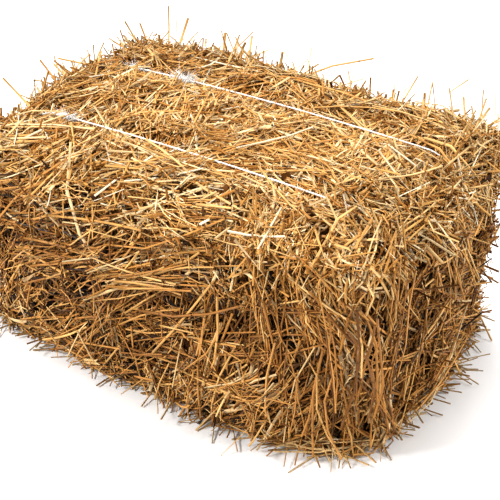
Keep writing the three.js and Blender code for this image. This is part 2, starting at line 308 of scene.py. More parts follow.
def run_angle(face, points):
    """The angle that stalks run at, at each point."""
    x, y, z = points.T
    chance = rng.random(len(points))
    first, second = swirl(points), second_swirl(points)
    if face in ("top", "bottom"):
        share = graded(*LENGTHWISE_BY_X, x)
        return np.where(chance < share, turned(LENGTHWISE, second), turned(CROSSWISE, first))
    lying = LYING
    share = HANGING_BEHIND
    if face == "front":
        share = graded(*FRONT_HANGING_BY_X, x) + graded(*FRONT_HANGING_BY_Z, z)
    elif face == "near_end":
        share = graded(*END_HANGING_BY_Y, y)
        lying = LYING_ON_NEAR_END
    return np.where(chance < share, turned(HANGING, first), turned(lying, second))


def run_direction(face, points, out):
    _, across, along = FACES[face].axes()
    angle = np.radians(run_angle(face, points))[:, None]
    return unit(without(np.cos(angle) * along + np.sin(angle) * across, out))


# Stalks

SHORTEST = 0.010
LONGEST = 0.24
KINK = 9  # times as much bend in a kinked stalk as in a bowed one
FOOT_SOFT = 0.045  # stalks nearer the worn foot than this lie over instead of standing out


@dataclass
class Stalks:
    """Stalks of one kind, as arrays with one row for each stalk."""

    centre: np.ndarray
    way: np.ndarray
    out: np.ndarray
    length: np.ndarray
    width: np.ndarray  # half of it, as for the thickness
    thickness: np.ndarray
    allow: np.ndarray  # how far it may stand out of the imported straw
    row: np.ndarray
    stiff: np.ndarray
    bow: np.ndarray
    kinked: np.ndarray
    taper: np.ndarray
    twist: np.ndarray


def rows_of(mean, deviation, count):
    low, high = (0, STALK_ROWS - 1) if np.max(mean) < STALK_ROWS else (LEAF_ROW, ROWS - 1)
    return np.clip(rng.normal(mean, deviation, count), low, high).astype(int)


def stalks_of(centre, way, out, *, length, width, thickness, allow, row, stiff=0.65, taper=0.15, twist=0.0,
              bow=0.06, kinks=0.0, lift=0.0, painted_shade=0.0):
    """Stalks of one kind through the centres.

    Length is the middle one and how much they vary, row the mean one and its deviation, width and thickness
    are ranges, and stiff and kinks are the shares of stalks that are so.
    """
    count = len(centre)
    size = np.exp(rng.normal(np.log(length[0]), length[1], count))
    kinked = rng.random(count) < kinks
    bends = rng.normal(0, bow, (count, 2)) * np.where(kinked, KINK, 1)[:, None]
    return Stalks(
        centre=centre,
        way=way,
        out=out,
        length=np.clip(size, SHORTEST, LONGEST),
        width=rng.uniform(*width, count),
        thickness=rng.uniform(*thickness, count),
        allow=rng.exponential(allow, count) + np.maximum(lift, 0),
        # the mean row, less the rows of painted shade or more by those of painted light
        row=rows_of(row[0] - painted_shade, row[1], count),
        stiff=(rng.random(count) < stiff) & (centre @ FOOT_CUT < FOOT_CUT_AT - FOOT_SOFT),
        bow=bends,
        kinked=kinked,
        taper=rng.uniform(0, 2 * taper, count),
        twist=rng.normal(0, 1, count) * twist,
    )


# Sheaves: how stalks lie together
SHEAF_DEPTH = 0.005
SHEAF_REACH = 0.030
SHEAF_WIDTH = 0.013
LOOSE_SCATTER = 2.6  # times as much scatter in loose stalks as in a sheaf
SHEAF_TILT = 0.8  # share of the tilt that a sheaf has as a whole
STALK_TILT = 0.6  # and that each of its stalks has of its own
GAP_DEPTH = 0.029
GAP_LEFT = 0.12  # share of the stalks that stays in a gap


def scattered(way, out, which, sheaves, scatter, tilt):
    """The ways turned a little apart, and leaned out of the face by sheaves and one by one."""
    count = len(way)
    turn = np.radians(rng.normal(0, 1, (count, 1)) * scatter)
    sheaf_lean = rng.normal(0, SHEAF_TILT * tilt, (sheaves, 1))[which]
    lean = np.tan(np.radians(rng.normal(0, STALK_TILT * tilt, (count, 1)) + sheaf_lean))
    return unit(way * np.cos(turn) + np.cross(out, way) * np.sin(turn) + out * lean)


def lay(face, count, *, depth, sheaf=12, scatter=9, loose=0.35, tilt=4, heave=0.0, painted_shade_share=1.0, **kind):
    """Stalks on one face, in sheaves that lie the same way and loose ones that lie across them.

    Sheaf is how many stalks one has, scatter and tilt are in degrees, loose is a share, heave is how far
    sheaves stand out, and the share of the face's painted shade of depth that they take is the last keyword.
    """
    sheaves = max(1, count // sheaf)
    which = rng.integers(0, sheaves, count)
    middle, out = settle(on_face(face, sheaves), SHEAF_DEPTH)
    way = run_direction(face, middle, out)
    aside = np.cross(out, way)
    ahead, sideways = [rng.normal(0, spread, (count, 1)) for spread in (SHEAF_REACH, SHEAF_WIDTH)]
    shift = ahead * way[which] + sideways * aside[which]
    is_loose = rng.random((count, 1)) < loose
    start = np.where(is_loose, on_face(face, count), middle[which] + shift)
    lift = np.where(is_loose[:, 0], 0, rng.normal(0, heave, sheaves)[which])
    deep = rng.uniform(*depth, count) - lift
    centre, out_here = settle(start, deep)
    way = np.where(is_loose, run_direction(face, centre, out_here), way[which])
    way = unit(without(way, out_here))
    scatter = np.where(is_loose, LOOSE_SCATTER * scatter, scatter)
    way = scattered(way, out_here, which, sheaves, scatter, tilt)
    filled = (gaps(centre) < FACES[face].gap_level) | (deep > GAP_DEPTH) | (rng.random(count) < GAP_LEFT)
    # painted shade of depth, and painted light at the brim and foot of a side
    painted_shade = painted_shade_at(face, centre, deep, painted_shade_share)
    return stalks_of(centre[filled], way[filled], out_here[filled], lift=lift[filled],
                     painted_shade=painted_shade[filled], **kind)


# Paths of the stalks

PROBES = 13
PATH_ROUGHNESS = 0.4  # share of the lumps and dents that a stalk follows
LEAST_HALF = 0.06  # share of its length that a stiff stalk keeps on each side of its middle


def points_on(stalks, share):
    """Points on each stalk, from -0.5 at one end to 0.5 at the other."""
    line = stalks.way[:, None] * (share * stalks.length[:, None])[..., None]
    aside = np.cross(stalks.out, stalks.way)
    bow = stalks.bow[:, :1, None] * aside[:, None] + stalks.bow[:, 1:, None] * stalks.out[:, None]
    bent = np.where(stalks.kinked[:, None], np.abs(share) * 0.5, share**2)
    return stalks.centre[:, None] + line + bow * (bent * stalks.length[:, None])[..., None]


def paths(stalks, rings):
    """The bends of each stalk: stiff ones end where they would reach too far, others lie over."""
    steps = np.linspace(-0.5, 0.5, PROBES)
    probe = points_on(stalks, np.broadcast_to(steps, (len(stalks.length), PROBES)))
    height, _ = outside_of(probe, PATH_ROUGHNESS)
    too_far = height > stalks.allow[:, None]
    too_far |= ((probe < REACH_LOW + REACH_MARGIN) | (probe > REACH_HIGH)).any(axis=-1)
    middle = PROBES // 2
    ahead = np.where(too_far[:, middle:], steps[middle:], 0.5).min(axis=1)
    behind = np.where(too_far[:, : middle + 1], steps[: middle + 1], -0.5).max(axis=1)
    ahead = np.where(stalks.stiff, np.maximum(ahead, LEAST_HALF), 0.5)
    behind = np.where(stalks.stiff, np.minimum(behind, -LEAST_HALF), -0.5)
    points = points_on(stalks, behind[:, None] + (ahead - behind)[:, None] * np.linspace(0, 1, rings))
    for _ in range(2):
        height, out = outside_of(points, PATH_ROUGHNESS)
        over = np.maximum(height - stalks.allow[:, None], 0)
        points = points - out * np.where(stalks.stiff[:, None], 0, over)[..., None]
    room = np.maximum(stalks.width, stalks.thickness)[:, None, None] + REACH_SKIN
    return np.clip(points, REACH_LOW + room, REACH_HIGH - room)


def dense(points, count=17):
    """More points along each stalk, between its bends."""
    share = np.linspace(0, points.shape[1] - 1, count)
    low = np.minimum(share.astype(int), points.shape[1] - 2)
    part = (share - low)[:, None]
    return points[:, low] * (1 - part) + points[:, low + 1] * part


# Straw over the twines: where it hides the front one, and how far it is cleared from both elsewhere
HIDDEN_AT_X = 0.020
HIDDEN_REACH = 0.018
HIDDEN_LEFT_OF = -0.255
HIDDEN_RIGHT_OF = 0.212
CLEARED_ON_TOP = 0.022
CLEARED_AT_ENDS = 0.009
ENDS_FROM = 0.285
ENDS_CLEARED_ABOVE = 0.20
LEFT_AT_ENDS = 0.22  # share of the stalks over a twine that stay there
BED = 0.004  # half the width of the bed that a twine presses for itself
BED_DEPTH = 0.002
BED_SLOPE = 0.75


def over_twine(line):
    """Which stalks would lie over a twine, other than where straw hides it."""
    x, y, z = line[..., 0], line[..., 1], line[..., 2]
    hidden = (np.abs(x - HIDDEN_AT_X) < HIDDEN_REACH) | (x < HIDDEN_LEFT_OF) | (x > HIDDEN_RIGHT_OF)
    aside = np.abs(np.abs(y) - TWINE_Y)
    bed = BED_SLOPE * np.maximum(aside - BED, 0) - BED_DEPTH
    above = z > TWINE_TOP + TWINE_RISE * (1 - (x / TWINE_END) ** 2) + bed
    bend_x, bend_z = TWINE_END - TWINE_CORNER, TWINE_TOP - TWINE_CORNER
    from_bend = np.hypot(np.abs(x) - bend_x, z - bend_z)
    above = np.where((np.abs(x) > bend_x) & (z > bend_z), from_bend > TWINE_CORNER + bed, above)
    above |= (np.abs(x) > TWINE_END + bed) & (z < bend_z) & (z > ENDS_CLEARED_ABOVE)
    at_end = np.abs(x) > ENDS_FROM
    over = (aside < np.where(at_end, CLEARED_AT_ENDS, CLEARED_ON_TOP)) & above & ~((y < 0) & hidden)
    return over.any(axis=1) & ~(at_end.any(axis=1) & (rng.random(len(line)) < LEFT_AT_ENDS))


# Hollows in the sides, where straw has fallen out: how many, how wide and how deep
HOLLOW_COUNTS = {"front": 70, "near_end": 40, "back": 34, "far_end": 20}
HOLLOW_RADIUS = (0.004, 0.011)
HOLLOW_DEPTH = 0.022
HOLLOW_MIDDLE = 0.006  # how deep the middle of a hollow is
HOLLOW_RISE = 0.82  # share of the height that they reach up to
HOLLOW_CLEARED = 0.85  # share of the stalks that are gone from them

# The wider ones beside the sheaf at the front: middle and radius
FRONT_HOLLOWS = [
    ((-0.125, -0.238, 0.160), 0.020),
    ((-0.070, -0.240, 0.175), 0.016),
    ((0.050, -0.240, 0.200), 0.014),
]


def hollow_places():
    places = list(FRONT_HOLLOWS)
    for face, count in HOLLOW_COUNTS.items():
        middles, _ = settle(on_face(face, count) * (1, 1, HOLLOW_RISE), HOLLOW_MIDDLE)
        places += list(zip(middles, rng.uniform(*HOLLOW_RADIUS, count)))
    return places


HOLLOW_PLACES = hollow_places()


def in_hollow(line):
    """Which stalks would cross a hollow in the outer straw."""
    height, _ = outside_of(line)
    inside = np.zeros(line.shape[:2], bool)
    for middle, radius in HOLLOW_PLACES:
        inside |= np.linalg.norm(line - np.array(middle), axis=-1) < radius
    crossing = (inside & (height > -HOLLOW_DEPTH)).any(axis=1)
    return crossing & (rng.random(len(line)) < HOLLOW_CLEARED)


# Tubes and the meshes made of them

@dataclass
class Tubes:
    """Closed tubes as arrays, all with the same number of sides and of rings."""

    points: np.ndarray  # along the middle of each tube
    corners: np.ndarray  # round each of those points
    row: np.ndarray  # of the palette
    run: np.ndarray  # where each ring is along the palette
    sides: int

    def chosen(self, pick):
        return Tubes(self.points[pick], self.corners[pick], self.row[pick], self.run[pick], self.sides)

    def walls(self):
        """Four corners of every patch of wall, and their places in the palette."""
        count, rings = self.points.shape[:2]
        first = np.arange(count)[:, None, None] * rings * self.sides
        ring = np.arange(rings - 1)[:, None] * self.sides
        here = np.arange(self.sides)
        there = (here + 1) % self.sides
        low, high = first + ring + here, first + ring + there
        corners = np.stack([high, high + self.sides, low + self.sides, low], axis=-1)
        row = self.row[:, None, None] + ROW_MARGIN
        band = 1 - 2 * ROW_MARGIN
        bottom = (row + band * here / self.sides) / ROWS
        top = (row + band * (here + 1) / self.sides) / ROWS
        near, far, bottom, top = np.broadcast_arrays(
            self.run[:, :-1, None], self.run[:, 1:, None], bottom, top)
        u = np.stack([near, far, far, near], axis=-1)
        v = np.stack([top, top, bottom, bottom], axis=-1)
        return corners.reshape(-1, 4), np.stack([u, v], axis=-1).reshape(-1, 2)

    def ends(self):
        """The two cut ends of every tube, and their places in the palette."""
        count, rings = self.points.shape[:2]
        first = np.arange(count)[:, None] * rings * self.sides + np.arange(self.sides)
        last = (first + (rings - 1) * self.sides)[:, ::-1]
        u = np.concatenate([self.run[:, 0], self.run[:, -1]])
        v = (np.tile(self.row, 2) * CUT_END_PAINTED_SHADE + 0.5) / ROWS
        places = np.repeat(np.stack([u, v], axis=-1), self.sides, axis=0)
        return np.concatenate([first, last]), places


def tubes_along(points, out, *, width, thickness, row, sides, taper=0.0, twist=0.0):
    """Tubes along the points, with half their width sideways and half their thickness along out."""
    count, rings = points.shape[:2]
    width, thickness, row, taper, twist = [
        np.broadcast_to(value, count) for value in (width, thickness, row, taper, twist)]
    ahead = unit(np.gradient(points, axis=1))
    up = unit(without(np.broadcast_to(out, points.shape), ahead))
    right = np.cross(ahead, up)
    share = np.linspace(0, 1, rings)
    turn = 2 * np.pi * (np.arange(sides) + 0.5) / sides
    roll = (twist[:, None] * share)[:, :, None]
    size = (1 - taper[:, None] * share)[:, :, None]
    flat = width[:, None, None] * np.cos(turn) * size
    tall = thickness[:, None, None] * np.sin(turn) * size
    aside = (flat * np.cos(roll) - tall * np.sin(roll))[..., None]
    upward = (flat * np.sin(roll) + tall * np.cos(roll))[..., None]
    corners = points[:, :, None] + right[:, :, None] * aside + up[:, :, None] * upward
    steps = np.linalg.norm(np.diff(points, axis=1), axis=-1)
    run = np.concatenate([np.zeros((count, 1)), np.cumsum(steps, axis=1)], axis=1)
    return Tubes(points, corners, row, rng.random((count, 1)) + run / STRIP, sides)


def as_tubes(stalks, rings, sides):
    """The stalks as tubes, without those over a twine or across a hollow."""
    points = paths(stalks, rings)
    line = dense(points)
    keep = ~over_twine(line) & ~in_hollow(line)
    return tubes_along(points[keep], stalks.out[keep, None], width=stalks.width[keep],
                       thickness=stalks.thickness[keep], row=stalks.row[keep], sides=sides,
                       taper=stalks.taper[keep], twist=stalks.twist[keep])


def make_piece(name, tubes, material):
    """One mesh object from several sets of tubes."""
    corners, loops, places, starts, smooth = [], [], [], [], []
    corner_count = loop_count = 0
    for part in tubes:
        for (polygons, where), is_smooth in ((part.walls(), part.sides > 3), (part.ends(), False)):
            loops.append(polygons.ravel() + corner_count)
            places.append(where)
            starts.append(loop_count + np.arange(len(polygons)) * polygons.shape[1])
            smooth.append(np.full(len(polygons), is_smooth))
            loop_count += polygons.size
        corners.append(part.corners.reshape(-1, 3))
        corner_count += len(corners[-1])
    mesh = bpy.data.meshes.new(name)
    mesh.vertices.add(corner_count)
    mesh.vertices.foreach_set("co", np.concatenate(corners).astype(np.float32).ravel())
    mesh.loops.add(loop_count)
    mesh.loops.foreach_set("vertex_index", np.concatenate(loops).astype(np.int32))
    mesh.polygons.add(sum(len(part) for part in starts))
    mesh.polygons.foreach_set("loop_start", np.concatenate(starts).astype(np.int32))
    mesh.polygons.foreach_set("use_smooth", np.concatenate(smooth))
    uv_map = mesh.uv_layers.new(name="OFBake")
    uv_map.data.foreach_set("uv", np.concatenate(places).astype(np.float32).ravel())
    mesh.update(calc_edges=True)
    mesh.materials.append(material)
    piece = bpy.data.objects.new(name, mesh)
    bpy.context.scene.collection.objects.link(piece)
    return piece


# Materials

# Colours of the straw from the first row to the last; the last two stops are the leaves. The near-black
# first rows are painted shade, taken by straw deep inside
STRAW_COLOURS = [
    (0.00, (0.010, 0.003, 0.001)),
    (0.15, (0.078, 0.030, 0.006)),
    (0.32, (0.255, 0.103, 0.020)),
    (0.47, (0.482, 0.230, 0.054)),
    (0.61, (0.622, 0.370, 0.124)),
    (0.73, (0.670, 0.495, 0.258)),
    (0.80, (0.710, 0.580, 0.370)),
    (0.84, (0.800, 0.720, 0.560)),
    (0.85, (0.250, 0.130, 0.045)),
    (1.00, (0.800, 0.600, 0.330)),
]
STRAW_STRETCH = (9, 700, 1)
STREAK_DETAIL = 3.0
STREAK_RANGE = (0.3, 0.7)
STREAK_SHADE = (0.66, 1.16)
STREAK_ROUGHNESS = (0.36, 0.56)
STRAW_SPECULAR = 0.24
STRAW_BUMP = (0.25, 0.0004)  # strength and depth
JOINT_HALF_WIDTH = (0.004, 0.016)  # shares of the spacing of the stem joints
JOINT_SHADE = (0.42, 1.0)

# Painted shade between the fibres of the twine, in grey, and white on them
TWINE_COLOURS = [
    (0.30, (0.52, 0.51, 0.49)),
    (0.62, (0.76, 0.75, 0.73)),
]
TWINE_STRETCH = (14, 900, 1)
FIBRE_DETAIL = 4.0
TWINE_ROUGHNESS = 0.40
TWINE_BUMP = (0.3, 0.0003)


def node(tree, kind, inputs=None, **settings):
    made = tree.nodes.new(kind)
    for key, value in settings.items():
        setattr(made, key, value)
    for key, value in (inputs or {}).items():
        made.inputs[key].default_value = value
    return made


def new_material(name):
    material = bpy.data.materials.new(name)
    material.use_nodes = True
    return material, material.node_tree, material.node_tree.nodes["Principled BSDF"]


def ranged(tree, value, low_high, to_low_high):
    """A socket's value, taken from one range to another."""
    made = node(tree, "ShaderNodeMapRange", {
        "From Min": low_high[0], "From Max": low_high[1],
        "To Min": to_low_high[0], "To Max": to_low_high[1],
    })
    tree.links.new(value, made.inputs["Value"])
    return made.outputs["Result"]


def math_of(tree, operation, value, by):
    """An operation on a socket's value and either a number or another socket."""
    made = node(tree, "ShaderNodeMath", operation=operation)
    tree.links.new(value, made.inputs[0])
    if isinstance(by, float):
        made.inputs[1].default_value = by
    else:
        tree.links.new(by, made.inputs[1])
    return made.outputs["Value"]


def ramp_of(tree, value, stops):
    """The colour at a socket's value."""
    ramp = node(tree, "ShaderNodeValToRGB")
    tree.links.new(value, ramp.inputs["Fac"])
    elements = ramp.color_ramp.elements
    for end, (position, colour) in ((0, stops[0]), (1, stops[-1])):
        elements[end].position = position
        elements[end].color = (*colour, 1)
    for position, colour in stops[1:-1]:
        elements.new(position).color = (*colour, 1)
    return ramp.outputs["Color"]


def drawn_out_noise(tree, place, stretch, detail):
    """Noise drawn out along the palette, as streaks and fibres are along a stalk or a strand."""
    mapping = node(tree, "ShaderNodeMapping", {"Scale": stretch})
    tree.links.new(place, mapping.inputs["Vector"])
    noise = node(tree, "ShaderNodeTexNoise", {"Scale": 1.0, "Detail": detail})
    tree.links.new(mapping.outputs["Vector"], noise.inputs["Vector"])
    return noise.outputs["Fac"]


def add_bump(tree, shader, height, strength, distance):
    bump = node(tree, "ShaderNodeBump", {"Strength": strength, "Distance": distance})
    tree.links.new(height, bump.inputs["Height"])
    tree.links.new(bump.outputs["Normal"], shader.inputs["Normal"])


def straw_material():
    """Straw: one colour for each row of the palette, with streaks, stem joints and a dry sheen."""
    material, tree, shader = new_material("straw")
    place = node(tree, "ShaderNodeUVMap", uv_map="OFBake").outputs["UV"]
    parts = node(tree, "ShaderNodeSeparateXYZ")
    tree.links.new(place, parts.inputs[0])
    streaks = drawn_out_noise(tree, place, STRAW_STRETCH, STREAK_DETAIL)
    spacings = math_of(tree, "MULTIPLY", parts.outputs["X"], STRIP / JOINT_SPACING)
    from_joint = math_of(tree, "PINGPONG", spacings, 0.5)
    joints = ranged(tree, from_joint, JOINT_HALF_WIDTH, JOINT_SHADE)
    shade = math_of(tree, "MULTIPLY", ranged(tree, streaks, STREAK_RANGE, STREAK_SHADE), joints)
    tint = node(tree, "ShaderNodeVectorMath", operation="SCALE")
    tree.links.new(ramp_of(tree, parts.outputs["Y"], STRAW_COLOURS), tint.inputs[0])
    tree.links.new(shade, tint.inputs["Scale"])
    tree.links.new(tint.outputs["Vector"], shader.inputs["Base Color"])
    tree.links.new(ranged(tree, streaks, STREAK_RANGE, STREAK_ROUGHNESS), shader.inputs["Roughness"])
    shader.inputs["Specular IOR Level"].default_value = STRAW_SPECULAR
    add_bump(tree, shader, streaks, *STRAW_BUMP)
    return material


def twine_material():
    """White baler twine: fine fibres that run along it, with a little grey painted shade between them."""
    material, tree, shader = new_material("twine")
    place = node(tree, "ShaderNodeUVMap", uv_map="OFBake").outputs["UV"]
    strands = drawn_out_noise(tree, place, TWINE_STRETCH, FIBRE_DETAIL)
    tree.links.new(ramp_of(tree, strands, TWINE_COLOURS), shader.inputs["Base Color"])
    shader.inputs["Roughness"].default_value = TWINE_ROUGHNESS
    add_bump(tree, shader, strands, *TWINE_BUMP)
    return material


# Straw of the faces

def kinds_on(face):
    """The kinds of straw on a face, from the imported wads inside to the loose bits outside.

    Each has its number on the whole bale, the rings and sides of its tubes, and how it lies and looks.
    """
    on_top = face == "top"
    painted_light_rows = FACES[face].painted_light_rows
    # The near-black rows of the wads and the darker rows of the straw under the outer layer are painted
    # shade of the depth inside
    wads = dict(depth=(0.034, 0.048), length=(0.12, 0.25), width=(0.006, 0.010), thickness=(0.003, 0.005),
                allow=0.0001, row=(24 if on_top else 5, 3), painted_shade_share=0.0, stiff=0.0)
    under = dict(depth=(0.006, 0.032), length=(0.090, 0.5), width=(0.0009, 0.0019),
                 thickness=(0.0008, 0.0017), allow=0.001, row=(58 + painted_light_rows, 11), tilt=7, stiff=1.0)
    upper = dict(depth=(-0.002, 0.015), length=(0.110 if on_top else 0.140, 0.40),
                 width=(0.0009, 0.0028) if on_top else (0.0008, 0.0025), thickness=(0.0007, 0.0016),
                 allow=0.006, row=(75 + painted_light_rows, 14), tilt=6, heave=0.005, kinks=0.10, bow=0.16,
                 loose=0.45 if on_top else 0.30, scatter=14 if on_top else 9, painted_shade_share=0.8)
    fine = dict(depth=(-0.002, 0.014), length=(0.046, 0.55), width=(0.0005, 0.0012),
                thickness=(0.0004, 0.0009), allow=0.007, row=(74 + painted_light_rows, 13), tilt=13, sheaf=5, scatter=16,
                stiff=1.0, bow=0.35, painted_shade_share=0.6)
    chaff = dict(depth=(-0.002, 0.008), length=(0.016, 0.4), width=(0.0004, 0.0014),
                 thickness=(0.0002, 0.0005), allow=0.004, row=(76 + painted_light_rows, 14), tilt=22, sheaf=1,
                 scatter=60, stiff=1.0, painted_shade_share=0.6)
    blades = dict(depth=(0.0, 0.012), length=(0.060, 0.5), width=(0.0014, 0.0040),
                  thickness=(0.0002, 0.0004), allow=0.007, row=(119 + 0.4 * painted_light_rows, 5), tilt=10, taper=0.3,
                  twist=0.8, scatter=18, bow=0.25, painted_shade_share=0.0)
    ends = dict(depth=(0.004, 0.018), length=(0.100, 0.35), width=(0.0009, 0.0021),
                thickness=(0.0008, 0.0016), allow=0.014, row=(78 + painted_light_rows, 11), tilt=24, stiff=1.0, sheaf=9,
                bow=0.12, painted_shade_share=0.3)
    strays = dict(depth=(0.0, 0.020), length=(0.110, 0.35), width=(0.0006, 0.0016),
                  thickness=(0.0005, 0.0014), allow=0.026, row=(82 + painted_light_rows, 10), tilt=36, stiff=1.0, sheaf=1,
                  bow=0.2, painted_shade_share=0.0)
    return [
        (1600, 3, 4, wads),
        (14000, 2, 3, under),
        (9500, 4, 4, upper),
        (14000, 3, 3, fine),
        (12000, 2, 3, chaff),
        (3000, 4, 4, blades),
        (2600, 4, 4, ends),
        (1000, 4, 5, strays),
    ]


def straw_on(face):
    """All the straw of one face. All of it is laid before any is made into tubes."""
    laid = []
    for total, rings, sides, kind in kinds_on(face):
        laid.append((lay(face, int(total * FACES[face].share), **kind), rings, sides))
    return [as_tubes(stalks, rings, sides) for stalks, rings, sides in laid]


# Edges that loose stalks stand up from or hang over: from, to, the way they lean, how many, how far they
# stand out, their length and the share of them that is stiff
TUFTS = [
    ((-0.325, -0.210, 0.325), (-0.325, 0.200, 0.345), (-0.7, 0.0, 0.7), 200, 0.022, 0.100, 1.0),
    ((-0.310, 0.205, 0.345), (0.310, 0.205, 0.345), (0.0, 0.3, 0.9), 230, 0.022, 0.100, 1.0),
    ((0.310, -0.060, 0.345), (0.310, 0.205, 0.345), (0.45, 0.40, 0.80), 150, 0.030, 0.110, 1.0),
    ((0.330, 0.060, 0.200), (0.330, 0.215, 0.335), (0.75, 0.50, 0.20), 60, 0.016, 0.100, 1.0),
    ((0.330, -0.190, 0.335), (0.330, 0.205, 0.335), (0.90, 0.20, -0.70), 150, 0.012, 0.150, 0.1),
]
TUFT_SPREAD = 0.012
TUFT_LEAN_SPREAD = 0.60


def tufts(start, stop, lean, count, allow, length, stiff):
    lean = np.array(lean)
    share = rng.random((count, 1))
    base = np.array(start) * (1 - share) + np.array(stop) * share + rng.normal(0, TUFT_SPREAD, (count, 3))
    way = unit(lean + rng.normal(0, TUFT_LEAN_SPREAD, (count, 3)))
    out = np.broadcast_to(unit(lean), way.shape)
    stalks = stalks_of(base, way, out, length=(length, 0.35), width=(0.0010, 0.0030),
                       thickness=(0.0006, 0.0016), allow=allow, row=(86, 9), stiff=stiff, bow=0.25)
    return as_tubes(stalks, 5, 5)


# Single stalks that stand up from the top edges: where each leaves the bale, its bend and its tip
LONE_STALKS = np.array([
    ((-0.290, 0.215, 0.335), (-0.292, 0.222, 0.385), (-0.296, 0.228, 0.423)),
    ((-0.196, 0.200, 0.330), (-0.171, 0.238, 0.362), (-0.151, 0.274, 0.392)),
    ((-0.035, 0.212, 0.352), (0.022, 0.247, 0.380), (0.082, 0.275, 0.397)),
    ((0.150, 0.205, 0.330), (0.161, 0.237, 0.362), (0.168, 0.263, 0.391)),
    ((0.228, 0.165, 0.345), (0.224, 0.196, 0.419), (0.238, 0.195, 0.355)),
    ((0.250, 0.228, 0.345), (0.236, 0.238, 0.391), (0.254, 0.262, 0.407)),
    ((-0.310, -0.095, 0.335), (-0.342, -0.098, 0.362), (-0.376, -0.101, 0.389)),
    ((-0.318, -0.016, 0.335), (-0.345, -0.016, 0.362), (-0.375, -0.016, 0.390)),
    ((-0.300, 0.070, 0.355), (-0.330, 0.056, 0.366), (-0.378, 0.030, 0.376)),
    ((-0.310, 0.190, 0.340), (-0.321, 0.196, 0.362), (-0.341, 0.203, 0.390)),
    ((-0.170, 0.220, 0.340), (-0.182, 0.240, 0.366), (-0.202, 0.252, 0.390)),
    ((-0.300, 0.148, 0.352), (-0.317, 0.144, 0.362), (-0.354, 0.134, 0.382)),
])
LONE_OUT = np.array([0.3, -0.5, 0.8])
LONE_WIDTH = (0.0012, 0.0021)


def lone_stalks():
    count = len(LONE_STALKS)
    width = rng.uniform(*LONE_WIDTH, count)
    return tubes_along(LONE_STALKS, LONE_OUT, width=width, thickness=0.8 * width, row=rows_of(70, 5, count),
                       sides=6, taper=0.2)


# Stalks pressed out at the foot of the sides: how many on each, how high, how deep and how far they fan out
SKIRT_COUNT = 150
SKIRT_Z = (0.003, 0.030)
SKIRT_DEPTH = 0.012
SKIRT_FAN = 70
SKIRT_FALL = np.array([0, 0, -0.06])


def skirt(face):
    """Stalks pressed out at the foot of a side, onto the floor."""
    out, across, _ = FACES[face].axes()
    start = on_face(face, SKIRT_COUNT)
    start[:, 2] = rng.uniform(*SKIRT_Z, SKIRT_COUNT)
    height, _ = outside_of(start)
    start = start - out * (height + SKIRT_DEPTH)[:, None]
    angle = np.radians(rng.uniform(-SKIRT_FAN, SKIRT_FAN, (SKIRT_COUNT, 1)))
    way = unit(np.cos(angle) * out + np.sin(angle) * across + SKIRT_FALL)
    up = np.broadcast_to(np.array([0.0, 0.0, 1.0]), way.shape)
    stalks = stalks_of(start, way, up, length=(0.105, 0.35), width=(0.0007, 0.0020),
                       thickness=(0.0005, 0.0014), allow=0.028, row=(86, 10), stiff=1.0, bow=0.3)
    return as_tubes(stalks, 3, 4)


# Sheaves that stand out in the photograph: where, which way, the way out, how many, how wide and the row
# Their rows are painted light: lighter in the two at the front, as a painted highlight, and darker in the
# two at the near corner, as painted shade
SHEAVES = [
    ((-0.025, -0.243, 0.238), (-0.92, -0.20, -0.34), (0, -1, 0), 16, 0.010, 86),
    ((-0.030, -0.246, 0.215), (-0.84, -0.20, -0.53), (0, -1, 0), 16, 0.012, 84),
    ((0.338, -0.226, 0.190), (0.05, 0.06, -1.0), (0.7, -0.7, 0), 16, 0.034, 50),
    ((0.300, -0.238, 0.110), (0.06, 0.02, -1.0), (0.3, -0.9, 0), 10, 0.030, 48),
    ((0.350, 0.035, 0.285), (0.14, 0.10, -1.0), (1, 0, 0), 14, 0.018, 82),
]
SHEAF_THICKNESS = 0.004
SHEAF_SCATTER = 0.12


def sheaf(place, way, out, count, size, row):
    way, out = unit(np.array(way)), unit(np.array(out, float))
    aside = np.cross(out, way)
    shift = [rng.normal(0, scale, (count, 1)) for scale in (0.5 * size, size, SHEAF_THICKNESS)]
    centre = np.array(place) + shift[0] * way + shift[1] * aside + shift[2] * out
    ways = unit(way + SHEAF_SCATTER * rng.normal(0, 1, (count, 3)))
    stalks = stalks_of(centre, ways, np.broadcast_to(out, ways.shape), length=(0.15, 0.2),
                       width=(0.0010, 0.0021), thickness=(0.0009, 0.0018), allow=0.024, row=(row, 12),
                       stiff=1.0, bow=0.25)
    return as_tubes(stalks, 4, 5)


# Broad dry leaves that hang in bundles: where, which way, how many and how wide
LEAVES = [
    ((0.335, -0.232, 0.215), (0.04, 0.10, -1.0), 22, 0.026),
    ((0.318, -0.236, 0.160), (0.10, 0.02, -1.0), 12, 0.024),
    ((0.200, -0.238, 0.270), (0.60, -0.10, -0.6), 12, 0.028),
    ((0.342, 0.060, 0.300), (0.10, 0.20, -1.0), 12, 0.040),
]
LEAF_RISE = 0.002
LEAF_SCATTER = 0.22


def leaves(place, way, count, size):
    shift = rng.normal(0, size, (count, 3))
    centre, out = settle(np.array(place) + shift, np.full(count, -LEAF_RISE))
    ways = unit(without(unit(np.array(way)) + LEAF_SCATTER * rng.normal(0, 1, (count, 3)), out))
    stalks = stalks_of(centre, ways, out, length=(0.075, 0.35), width=(0.0016, 0.0040),
                       thickness=(0.0002, 0.0004), allow=0.010, row=(122, 3), twist=0.9, taper=0.35, bow=0.3)
    return as_tubes(stalks, 5, 4)


# The ear of grain at the foot of the front
EAR_PLACE = np.array([-0.120, -0.246, 0.030])
EAR_WAY = np.array([0.86, -0.22, 0.46])
EAR_OUT = np.array([0.0, -1.0, 0.0])
EAR_LENGTH = 0.040
EAR_GRAINS = 18
EAR_STEM = 0.0012  # how far from the middle of the stem the grains grow
GRAIN_LENGTH = 0.011
GRAIN_WIDTH = 0.0016
GRAIN_THICKNESS = 0.0013
GRAIN_SPREAD = 0.45
GRAIN_SCATTER = 0.08


